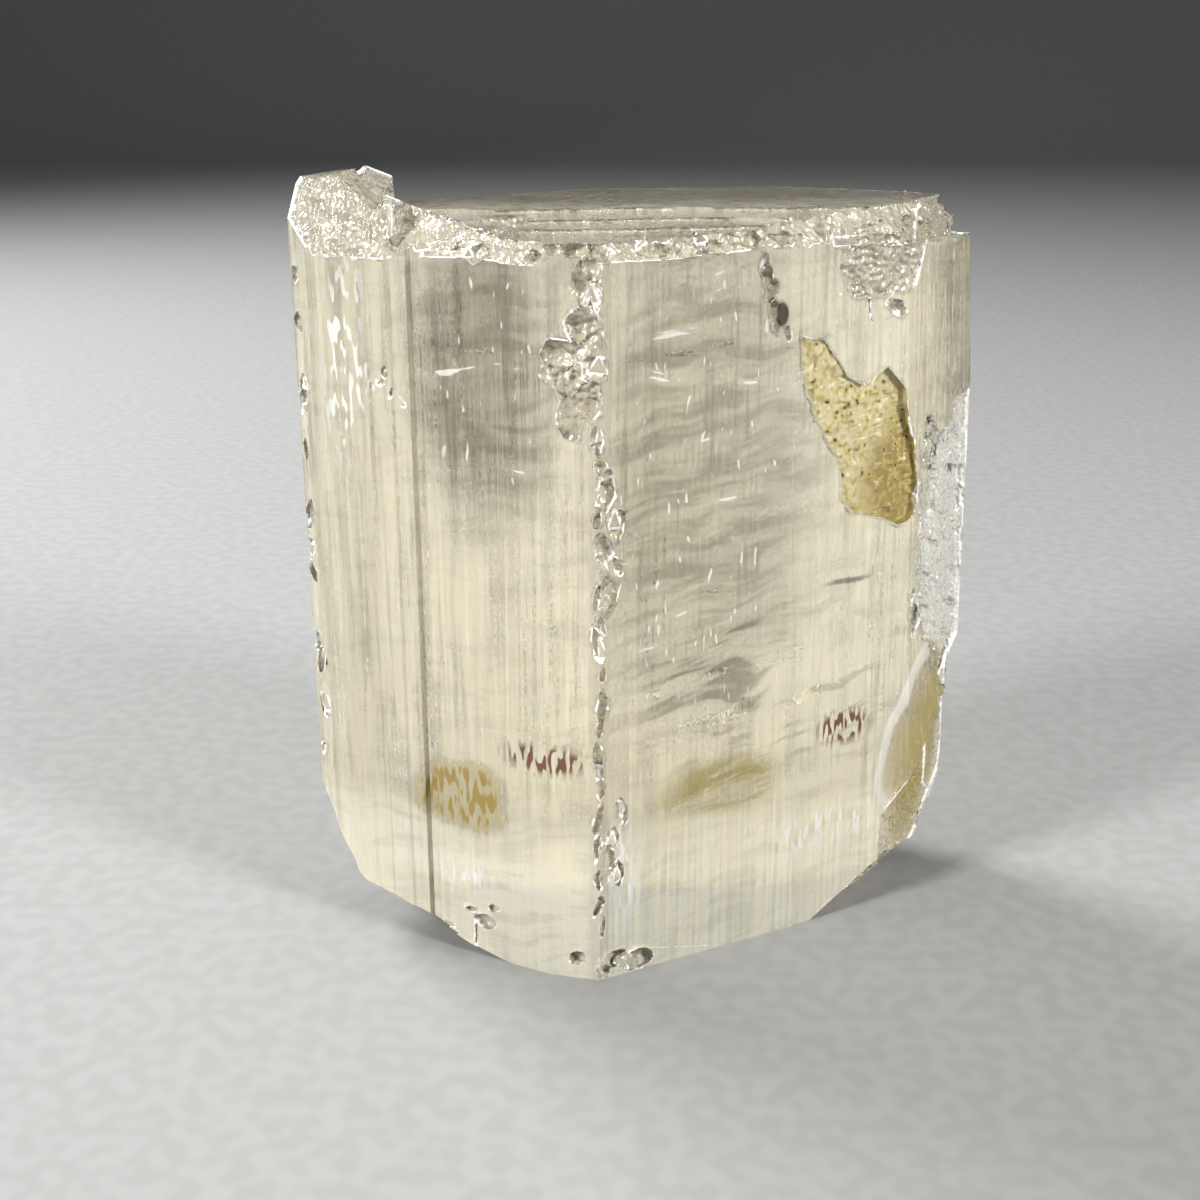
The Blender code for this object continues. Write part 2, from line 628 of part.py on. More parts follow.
def scar(name, outline, place, depth, rng, collection):
    """A shallow hollow in the front wall. place is the (x, z) whose wall it lies in."""
    x_at, z_at = Vector(place) * MM
    frame = wall_frame(x_at, z_at)
    stretch = abs(wall_at(x_at, z_at)[1].y)
    local = [Vector(((x_at - x * MM) / stretch, z * MM - z_at)) for x, z in outline]
    rough = ragged(local, SCAR_EDGE_STEP, SCAR_EDGE_JITTER, rng)
    upright = Matrix.Rotation(math.radians(90), 4, "X")
    extruded(name, rough, -SCAR_CLEARANCE, depth, collection, frame @ upright)


def scars(rng, collection):
    for name, outline, place, depth in SCARS:
        scar(name, outline, place, depth * MM, rng, collection)


def add_material(crystal):
    """Clear, faintly warm crystal."""
    material = bpy.data.materials.new("crystal")
    material.use_nodes = True
    shader = material.node_tree.nodes["Principled BSDF"]
    shader.inputs["Base Color"].default_value = CRYSTAL_COLOR
    shader.inputs["Metallic"].default_value = 0.0
    shader.inputs["Roughness"].default_value = CRYSTAL_ROUGHNESS
    material.diffuse_color = CRYSTAL_COLOR
    crystal.data.materials.append(material)


def stand_on_origin(objects):
    """Moves all the meshes so that the finished crystal's box has its bottom centre at the origin."""
    bpy.context.view_layer.update()
    graph = bpy.context.evaluated_depsgraph_get()
    crystal = bpy.data.objects[NAME].evaluated_get(graph)
    corners = [Vector(c) for c in crystal.bound_box]
    low = Vector([min(c[i] for c in corners) for i in range(3)])
    high = Vector([max(c[i] for c in corners) for i in range(3)])
    shift = Vector((-(low.x + high.x) / 2, -(low.y + high.y) / 2, -low.z))
    for obj in objects:
        obj.data.transform(Matrix.Translation(shift))
    print("moved by", [round(v / MM, 3) for v in shift], "mm")


def main():
    clear_scene()
    rng = random.Random(SEED)
    crystal_collection = new_collection("topaz crystal")
    cutters = new_collection("cutters")
    crystal = build_prism(rng, crystal_collection)
    cleavage_cutter(cutters)
    ridge_cutter(cutters)
    terrace_cutters(rng, cutters)
    foot_breaks(cutters)
    breaks(cutters)
    bevels(cutters)
    rim_step(rng, cutters)
    rim_chips(rng, cutters)
    back_rim_chips(rng, cutters)
    knob_chips(rng, cutters)
    face_chips(rng, cutters)
    scars(rng, cutters)
    add_material(crystal)
    cut = crystal.modifiers.new("breaks", "BOOLEAN")
    cut.operation = "DIFFERENCE"
    cut.operand_type = "COLLECTION"
    cut.collection = cutters
    stand_on_origin([crystal, *cutters.objects])


main()
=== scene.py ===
"""The dressed topaz crystal: clear, faintly champagne, frosted where it broke, with stains.

Metres, +Z up. The near upright edge of the prism, called the nose, faces -Y. Places on the crystal
are written in millimetres from the foot of the nose, as NOSE_FOOT gives it in the model's frame.
"""

import math

import bmesh
import bpy
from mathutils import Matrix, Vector, noise


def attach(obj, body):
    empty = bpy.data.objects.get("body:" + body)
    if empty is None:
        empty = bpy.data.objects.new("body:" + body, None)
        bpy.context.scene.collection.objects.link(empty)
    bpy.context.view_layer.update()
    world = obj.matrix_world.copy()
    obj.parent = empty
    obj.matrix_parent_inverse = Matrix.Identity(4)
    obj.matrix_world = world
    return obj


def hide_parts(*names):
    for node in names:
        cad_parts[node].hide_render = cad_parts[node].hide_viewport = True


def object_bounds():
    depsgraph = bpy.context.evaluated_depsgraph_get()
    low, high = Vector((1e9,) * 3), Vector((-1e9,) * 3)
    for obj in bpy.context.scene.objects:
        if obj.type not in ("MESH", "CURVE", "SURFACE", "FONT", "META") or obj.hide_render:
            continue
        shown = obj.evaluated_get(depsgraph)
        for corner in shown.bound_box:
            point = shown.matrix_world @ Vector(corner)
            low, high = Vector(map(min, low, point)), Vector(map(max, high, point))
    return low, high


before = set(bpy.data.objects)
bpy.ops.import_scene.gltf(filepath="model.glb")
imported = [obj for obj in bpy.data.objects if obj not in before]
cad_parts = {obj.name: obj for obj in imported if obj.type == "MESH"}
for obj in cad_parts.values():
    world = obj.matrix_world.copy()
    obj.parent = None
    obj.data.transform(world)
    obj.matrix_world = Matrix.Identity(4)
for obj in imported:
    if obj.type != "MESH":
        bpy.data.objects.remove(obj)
CAD_LOW, CAD_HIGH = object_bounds()

MM = 0.001
# Chooses the pattern of the flakes
SEED = 5

# Where the foot of the nose is in the model's frame, which has its origin under the box's centre
NOSE_FOOT = Vector((-2.035, -7.2, 0.0)) * MM

# Camera, solved from the photo's converging uprights; lens and sensor in millimetres
CAMERA_FROM_NOSE = Vector((0.0, -53.74, 34.3)) * MM
CAMERA_PITCH_DEG = 18.888
CAMERA_LENS = 46.909
CAMERA_SENSOR = 36.0

# Directions that the prism's grown walls face, in degrees from +X seen from above
WALL_FACINGS = (-62.0, -41.0, -102.0, -116.0, -135.0, 90.0, 65.5, 47.5, 120.0, 138.8)
WALL_TOLERANCE_DEG = 3.6
# The largest upward or downward share of a wall's direction
WALL_LEAN = 0.08
# A face taller than this belongs to a wall or a growth ledge
TALL_FACE = 1.7 * MM
# The cleavage face: above this height in millimetres, and at least this level
CLEAVAGE_LOW_Z = 28.2
CLEAVAGE_LEVEL = 0.985
# The foot's rim stays flat up to this height in millimetres
FOOT_Z = 0.02
# How far back the tan stain and the side's scars reach, in millimetres
STAIN_BACK_Y = 9.5
FLAKE_BACK_Y = 11.5

# The mesh: how close two corners are to be one, how long a broken face's edges may be, and how
# many times they are halved for that
WELD_DISTANCE = 1e-7
BREAK_EDGE = 0.26 * MM
SPLIT_TURNS = 8
# Flakes on the broken faces, and the finer ones on them
CHIP_WIDTH = 1.1 * MM
CHIP_DEPTH = 0.17 * MM
GRAIN_WIDTH = 0.42 * MM
GRAIN_DEPTH = 0.06 * MM
# How many times deeper the flakes are in the right side's big scar
SIDE_CHIP_DEPTH = 2.0
# How steeply a flake's facet is tilted, and a step that gives each flake its own direction
FLAKE_TILT = 0.9
FLAKE_STEP = 3.7
# Edges that turn more than this are drawn sharp
SHARP_DEG = 24.0

# Outline of the tan stain on the right face: (x, z) in millimetres from the nose's foot
STAIN_OUTLINE = (
    (7.5, 24.7), (8.6, 24.5), (9.5, 23.1), (10.2, 22.7), (11.2, 23.3), (12.0, 22.4),
    (12.3, 20.8), (12.8, 18.6), (12.8, 17.3), (12.0, 16.8), (11.0, 17.3), (10.0, 17.6),
    (9.5, 18.2), (9.3, 19.9), (8.3, 21.7), (7.8, 23.2),
)
# The rough scars of the right side: the big one behind the blunt edge, and the one under the rim
FLAKE_OUTLINES = (
    (
        (13.0, 21.4), (14.0, 21.7), (17.6, 21.6), (18.2, 8.6), (16.0, 8.2), (14.4, 9.4),
        (13.2, 12.6), (12.9, 16.0), (13.1, 19.0),
    ),
    (
        (9.0, 27.2), (9.6, 28.4), (13.8, 28.6), (13.5, 27.2), (12.9, 26.4), (11.8, 26.2),
        (10.6, 25.9), (9.6, 26.1),
    ),
)

# Places where the skin is bruised white: centre and radii in millimetres
BRUISES = (
    ((-5.0, 2.6, 3.6), (2.6, 1.6, 0.7)),
    ((-9.4, 4.8, 23.6), (1.0, 1.6, 5.0)),
    ((0.8, 0.8, 4.6), (0.9, 1.2, 2.6)),
    ((9.0, 5.2, 4.2), (3.4, 2.4, 1.0)),
)
BRUISE_SOFTNESS = 0.5
# Ragged patches of the skin: centre and radii in millimetres, and the softness of the border
RAGGED_PATCHES = {
    "clear_left": ((-4.0, 2.2, 23.6), (2.6, 3.5, 5.0), 0.45),
    "clear_right": ((3.9, 2.4, 19.5), (4.6, 4.0, 9.0), 0.4),
    "left_strip": ((-8.6, 4.6, 15.0), (3.2, 4.0, 30.0), 0.4),
    "wavy": ((6.5, 4.0, 10.5), (6.5, 5.0, 3.8), 0.35),
    "sparkle": ((15.6, 10.5, 15.5), (3.0, 5.0, 7.0), 0.3),
    "gold": ((-5.5, 2.2, 7.0), (2.1, 1.8, 1.5), 0.25),
    "olive_low": ((4.7, 2.7, 7.3), (3.0, 2.1, 1.2), 0.4),
    "olive_side": ((13.5, 8.9, 6.4), (2.4, 2.8, 4.4), 0.4),
    "deep_stain": ((11.9, 6.9, 18.6), (1.3, 1.8, 2.8), 0.5),
    "speck": ((6.5, 3.7, 25.9), (0.35, 0.6, 0.5), 0.2),
    # A short dark dash of painted shade on the right face
    "painted_dark_dash": ((9.8, 5.6, 14.8), (1.1, 1.0, 0.16), 0.5),
}
# Patches with an even border, and the narrow upright one that frosts the nose's edge
EVEN_PATCHES = {
    "nose_edge": ((0.0, 0.0, 14.0), (0.42, 0.42, 60.0), 0.3),
    "rust_left": ((-1.8, 1.0, 9.3), (2.0, 1.4, 0.7), 0.3),
    "rust_right": ((9.8, 5.8, 8.6), (1.4, 1.6, 0.8), 0.3),
}

# Patterns of the skin, in waves to the millimetre along X, Y and Z
STREAKS_PER_MM = (1.5, 1.5, 0.11)
BANDS_PER_MM = (0.25, 0.25, 1.5)
BANDS_TURN_DEG = 7.0
SCRATCHES_PER_MM = (5.5, 5.5, 1.5)
LINES_PER_MM = (5.0, 5.0, 0.12)
SPECKLE_PER_MM = 4.5
# How the borders of ragged patches wander: waves to the millimetre, and millimetres
WOBBLE_PER_MM = 0.45
WOBBLE_REACH = 1.0
# Heights in millimetres between which the foot turns cloudy, and the painted dark streaks set in
CLOUDY_FOOT_Z = (11.0, 4.0)
DARK_STREAKS_Z = (12.0, 18.0)
# How far behind the nose the haze thins out, in millimetres
HAZE_BACK_Y = (7.0, 11.0)

# How much of the light each cloud stops at the skin
HAZE_CLOUD = 0.33
BRIGHT_CLOUD = 0.5
FROST_CLOUD = 0.28
SOLID_CLOUD = 0.82
FOOT_CLOUD = 0.46
OLIVE_CLOUD = 0.5
SPARKLE_CLOUD = 0.38
# How strongly each tint covers what is under it
NOSE_FROST = 0.9
CLEAVAGE_TINT = 0.4
OLIVE_LOW_TINT = 0.9
OLIVE_SIDE_TINT = 0.95
STAIN_ROUGHNESS = 0.42
RELIEF_STRENGTH = 0.9
RELIEF_HEIGHT = 0.09 * MM

# The window's dim colour and the darkest colour serve as painted shade; white serves painted glints and a
# painted sparkle, and also the real bruises, the crack, the crushed rims and the films.
CLEAR = (0.97, 0.96, 0.90, 1.0)
SHADED_WINDOW = (0.50, 0.50, 0.45, 1.0)
PAINTED_SHADE_GREY = (0.20, 0.20, 0.18, 1.0)
CREAM = (0.98, 0.93, 0.73, 1.0)
WHITE = (1.0, 0.99, 0.95, 1.0)
FROST = (0.78, 0.73, 0.60, 1.0)
TAN = (0.56, 0.48, 0.27, 1.0)
GOLD = (0.27, 0.19, 0.045, 1.0)
RUST = (0.12, 0.05, 0.025, 1.0)
OLIVE = (0.42, 0.33, 0.09, 1.0)
TAUPE = (0.40, 0.38, 0.33, 1.0)
SPECK = (0.05, 0.03, 0.015, 1.0)
FILM_GREY = (0.30, 0.30, 0.29, 1.0)
TOPAZ_IOR = 1.62
ABSORPTION_COLOR = (0.855, 0.72, 0.285, 1.0)
ABSORPTION_DENSITY = 34.0

# The way that the crystal's right and left front walls run, in degrees from +X
RIGHT_RUN_DEG = 29.85
LEFT_RUN_DEG = 154.15
# Thin films of partly healed cracks inside: centre, half length and half width in millimetres, then
# the way that the length runs and its tilt in degrees
FILMS = (
    ((2.7, 3.2, 24.4), 2.5, 1.1, RIGHT_RUN_DEG, 4.0),
    ((-3.9, 3.4, 24.5), 2.3, 1.0, LEFT_RUN_DEG, 3.0),
    ((7.6, 6.2, 24.4), 2.0, 0.9, RIGHT_RUN_DEG, 8.0),
    ((2.8, 3.2, 15.2), 2.5, 1.0, RIGHT_RUN_DEG, -4.0),
    ((3.2, 3.8, 11.4), 2.6, 1.3, RIGHT_RUN_DEG, 10.0),
    ((6.9, 5.8, 11.7), 2.4, 1.2, RIGHT_RUN_DEG, 12.0),
    ((4.6, 5.0, 9.7), 2.8, 1.3, RIGHT_RUN_DEG, 9.0),
    ((8.6, 7.2, 9.9), 2.0, 1.1, RIGHT_RUN_DEG, 14.0),
    ((-4.8, 3.8, 17.6), 1.5, 0.8, LEFT_RUN_DEG, -5.0),
    ((-3.4, 3.2, 5.6), 2.2, 1.0, LEFT_RUN_DEG, 8.0),
)
FILM_RINGS = 8
FILM_SPOKES = 40
# How high and how wide a film's waves are, in millimetres
FILM_WAVE = 0.22
FILM_WAVE_WIDTH = 1.3
# A film's border: its mean share of the half length or width, how far it strays, and how often
FILM_BORDER = 0.75
FILM_BORDER_STRAY = 0.5
FILM_BORDER_WAVES = 1.6

FLOOR_DARK = (0.215, 0.215, 0.21, 1.0)
FLOOR_PALE = (0.235, 0.235, 0.23, 1.0)
FLOOR_ROUGHNESS = 0.85
FLOOR_TOOTH_PER_M = 1200.0
# The sheet in metres: half its width, its near end, where it bends, how wide the bend is, how high
# it rises behind, and the number of steps in the bend
SHEET_HALF_WIDTH = 1.2
SHEET_NEAR_Y = -0.9
SHEET_BEND_Y = 0.55
SHEET_BEND_RADIUS = 0.35
SHEET_TOP_Z = 0.8
SHEET_BEND_STEPS = 12

# Soft lights: name, direction and height in degrees, distance, width and height in metres, watts
LIGHTS = (
    ("key_left_behind", 140, 40, 0.32, (0.12, 0.12), 1.6),
    ("side_left", 215, 26, 0.30, (0.06, 0.18), 1.45),
    ("overhead", 80, 80, 0.40, (0.22, 0.22), 0.45),
    ("right_fill", -35, 26, 0.40, (0.08, 0.18), 2.05),
)
LIGHT_TARGET = Vector((0.0, 0.0, 15.0)) * MM
ROOM_COLOR = (0.50, 0.52, 0.55, 1.0)
ROOM_STRENGTH = 0.10


def place(x, y, z):
    """A place in millimetres from the nose's foot, in the model's frame."""
    return NOSE_FOOT + Vector((x, y, z)) * MM


def from_nose(co):
    """Where a point of the model's frame is from the nose's foot, in millimetres."""
    return (co - NOSE_FOOT) / MM


def link(obj):
    bpy.context.scene.collection.objects.link(obj)
    return obj


class Nodes:
    """A short way to write a material's node tree."""

    def __init__(self, material):
        material.use_nodes = True
        self.tree = material.node_tree
        self.tree.nodes.clear()

    def add(self, kind, values=None, **settings):
        node = self.tree.nodes.new(kind)
        for key, value in settings.items():
            setattr(node, key, value)
        for key, value in (values or {}).items():
            self.feed(node.inputs[key], value)
        return node

    def feed(self, socket, value):
        if isinstance(value, bpy.types.NodeSocket):
            self.tree.links.new(value, socket)
        else:
            socket.default_value = value

    def math(self, operation, a, b=0.0, clamp=False):
        node = self.add("ShaderNodeMath", operation=operation, use_clamp=clamp)
        self.feed(node.inputs[0], a)
        self.feed(node.inputs[1], b)
        return node.outputs[0]

    def times(self, a, b):
        return self.math("MULTIPLY", a, b)

    def most(self, *masks):
        """The greatest of several masks."""
        greatest = masks[0]
        for mask in masks[1:]:
            greatest = self.math("MAXIMUM", greatest, mask)
        return greatest

    def times_plus(self, a, b, c):
        """a times b, plus c."""
        node = self.add("ShaderNodeMath", operation="MULTIPLY_ADD")
        for socket, value in zip(node.inputs, (a, b, c)):
            self.feed(socket, value)
        return node.outputs[0]

    def ramp(self, value, low, high, to_low=0.0, to_high=1.0):
        """value mapped smoothly from low..high to to_low..to_high."""
        node = self.add("ShaderNodeMapRange", interpolation_type="SMOOTHSTEP")
        for key, given in zip(range(5), (value, low, high, to_low, to_high)):
            self.feed(node.inputs[key], given)
        return node.outputs[0]

    def mix(self, share, a, b):
        node = self.add("ShaderNodeMix", data_type="RGBA")
        self.feed(node.inputs[0], share)
        self.feed(node.inputs[6], a)
        self.feed(node.inputs[7], b)
        return node.outputs[2]

    def noise(self, where, scale, detail=3.0, roughness=0.5):
        values = {"Vector": where, "Scale": scale, "Detail": detail, "Roughness": roughness}
        return self.add("ShaderNodeTexNoise", values).outputs[0]

    def scaled(self, where, factors):
        return self.add("ShaderNodeMapping", {"Vector": where, "Scale": factors}).outputs[0]

    def turned(self, where, factors, degrees):
        """Coordinates that are first turned about the model's Y axis, then scaled."""
        values = {"Vector": where, "Rotation": (0.0, math.radians(degrees), 0.0)}
        turned = self.add("ShaderNodeMapping", values).outputs[0]
        return self.scaled(turned, factors)

    def attribute(self, name):
        return self.add("ShaderNodeAttribute", attribute_name=name).outputs["Fac"]

    def millimetres(self):
        """Object coordinates in millimetres from the nose's foot."""
        place_node = self.add("ShaderNodeTexCoord")
        moved = self.add("ShaderNodeVectorMath", operation="SUBTRACT")
        self.feed(moved.inputs[0], place_node.outputs["Object"])
        self.feed(moved.inputs[1], NOSE_FOOT)
        grown = self.add("ShaderNodeVectorMath", operation="SCALE")
        self.feed(grown.inputs[0], moved.outputs[0])
        self.feed(grown.inputs["Scale"], 1.0 / MM)
        return grown.outputs[0]

    def wobbled(self, where, scale, amount):
        """The same coordinates, pushed about by noise, so that what they shape has a natural edge."""
        values = {"Vector": where, "Scale": scale, "Detail": 0.0}
        colour = self.add("ShaderNodeTexNoise", values).outputs["Color"]
        centred = self.add("ShaderNodeVectorMath", operation="SUBTRACT")
        self.feed(centred.inputs[0], colour)
        self.feed(centred.inputs[1], (0.5, 0.5, 0.5))
        added = self.add("ShaderNodeVectorMath", operation="MULTIPLY_ADD")
        self.feed(added.inputs[0], centred.outputs[0])
        self.feed(added.inputs[1], (amount, amount, amount))
        self.feed(added.inputs[2], where)
        return added.outputs[0]

    def blob(self, where, centre, radii, soft=0.25):
        """1 inside an ellipsoid and 0 outside it, with a soft border."""
        moved = self.add("ShaderNodeVectorMath", operation="SUBTRACT")
        self.feed(moved.inputs[0], where)
        self.feed(moved.inputs[1], centre)
        scaled = self.add("ShaderNodeVectorMath", operation="DIVIDE")
        self.feed(scaled.inputs[0], moved.outputs[0])
        self.feed(scaled.inputs[1], radii)
        length = self.add("ShaderNodeVectorMath", operation="LENGTH")
        self.feed(length.inputs[0], scaled.outputs[0])
        return self.ramp(length.outputs["Value"], 1.0 + soft, 1.0 - soft)

    def finish(self, shader, volume=None):
        output = self.add("ShaderNodeOutputMaterial")
        self.feed(output.inputs["Surface"], shader.outputs[0])
        if volume:
            self.feed(output.inputs["Volume"], volume.outputs[0])


def in_outline(x, z, outline):
    """Is (x, z) inside the closed outline?"""
    inside = False
    for i, (ax, az) in enumerate(outline):
        bx, bz = outline[i - 1]
        if (az > z) != (bz > z) and x < (bx - ax) * (z - az) / (bz - az) + ax:
            inside = not inside
    return inside


def is_wall(normal):
    """Does a face with this direction belong to one of the prism's grown walls?"""
    if abs(normal.z) > WALL_LEAN:
        return False
    angle = math.degrees(math.atan2(normal.y, normal.x))
    return any(abs((angle - facing + 180) % 360 - 180) < WALL_TOLERANCE_DEG for facing in WALL_FACINGS)


def is_tall(face):
    """Does the face run far up the prism, as walls and growth ledges do and a break's facets don't?"""
    heights = [vert.co.z for vert in face.verts]
    return max(heights) - min(heights) > TALL_FACE


def is_cleavage(face):
    return face.normal.z > CLEAVAGE_LEVEL and from_nose(face.calc_center_median()).z > CLEAVAGE_LOW_Z


def is_stained(face):
    """Is the face the floor of the scar that holds the tan stain?"""
    middle = from_nose(face.calc_center_median())
    return face.normal.y < 0 and middle.y < STAIN_BACK_Y and in_outline(middle.x, middle.z, STAIN_OUTLINE)


def is_flaked(face):
    """Is the face the rough floor of the right side's big flake scar or of the one under the rim?"""
    middle = from_nose(face.calc_center_median())
    if face.normal.y > 0 or middle.y > FLAKE_BACK_Y:
        return False
    return any(in_outline(middle.x, middle.z, outline) for outline in FLAKE_OUTLINES)


def split_long_edges(bm, wanted):
    """Splits the edges of the wanted faces until none is longer than BREAK_EDGE."""
    for turn in range(SPLIT_TURNS):
        long_edges = [
            edge for edge in bm.edges
            if edge.calc_length() > BREAK_EDGE and any(face[wanted] > 0.5 for face in edge.link_faces)
        ]
        if not long_edges:
            break
        bmesh.ops.subdivide_edges(bm, edges=long_edges, cuts=1)
        bmesh.ops.triangulate(bm, faces=[face for face in bm.faces if len(face.verts) > 3])


def facet_depth(co, width, depth, shift):
    """How far in a break lies at a point: tilted flakes of this width and depth, 0 to depth."""
    where = co / width + shift
    centre = noise.voronoi(where)[1][0]
    direction = noise.cell_vector(centre * FLAKE_STEP)
    share = 0.5 + FLAKE_TILT * (where - centre).dot(direction)
    return depth * min(max(share, 0.0), 1.0)


def chip_breaks(bm, rough):
    """Gives the broken faces their small flakes, always inwards."""
    bm.normal_update()
    shift = Vector((SEED, SEED * 2, SEED * 3))
    moves = []
    for vert in bm.verts:
        if not vert.link_faces or any(face[rough] < 0.5 for face in vert.link_faces):
            continue
        spot = from_nose(vert.co)
        if spot.z < FOOT_Z:
            continue
        depth = facet_depth(vert.co, CHIP_WIDTH, CHIP_DEPTH, shift)
        if in_outline(spot.x, spot.z, FLAKE_OUTLINES[0]):
            depth *= SIDE_CHIP_DEPTH
        depth += facet_depth(vert.co, GRAIN_WIDTH, GRAIN_DEPTH, shift * 2)
        moves.append((vert, vert.normal * depth))
    for vert, move in moves:
        moved = vert.co - move
        vert.co = [min(max(moved[i], CAD_LOW[i]), CAD_HIGH[i]) for i in range(3)]


def mark_wear(bm, rough, cleavage, wear):
    """Marks the rough faces' rims, which are crushed white, but not where they meet the cleavage."""
    for vert in bm.verts:
        kinds = {face[rough] > 0.5 for face in vert.link_faces}
        if len(kinds) < 2 or any(face[cleavage] > 0.5 for face in vert.link_faces):
            continue
        for loop in vert.link_loops:
            if loop.face[rough] > 0.5:
                loop[wear] = 1.0


def mark_sharp_edges(bm, rough):
    limit = math.radians(SHARP_DEG)
    for face in bm.faces:
        face.smooth = face[rough] > 0.5
    for edge in bm.edges:
        edge.smooth = len(edge.link_faces) == 2 and edge.calc_face_angle(math.pi) < limit


def crystal_piece():
    """The crystal: the same solid, with fine chips on its breaks and its faces sorted for the material."""
    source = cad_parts["topaz_crystal"]
    bm = bmesh.new()
    bm.from_mesh(source.data)
    bmesh.ops.remove_doubles(bm, verts=bm.verts, dist=WELD_DISTANCE)
    bmesh.ops.triangulate(bm, faces=bm.faces)
    bm.normal_update()
    frost = bm.faces.layers.float.new("frost")
    stain = bm.faces.layers.float.new("stain")
    wear = bm.loops.layers.float.new("wear")
    cleavage = bm.faces.layers.float.new("cleavage")
    rough = bm.faces.layers.float.new("rough")
    for face in bm.faces:
        level = is_cleavage(face)
        stained = is_stained(face)
        face[cleavage] = 1.0 if level else 0.0
        face[stain] = 1.0 if stained else 0.0
        grown = is_wall(face.normal) or is_tall(face)
        clear = level or stained or (grown and not is_flaked(face))
        face[frost] = 0.0 if clear else 1.0
        face[rough] = 1.0 if stained or not clear else 0.0
    split_long_edges(bm, rough)
    chip_breaks(bm, rough)
    mark_wear(bm, rough, cleavage, wear)
    mark_sharp_edges(bm, rough)
    mesh = bpy.data.meshes.new("topaz_crystal_dressed")
    bm.to_mesh(mesh)
    bm.free()
    piece = link(bpy.data.objects.new("topaz_crystal_dressed", mesh))
    mesh.materials.append(crystal_material())
    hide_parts("topaz_crystal")
    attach(piece, "root")


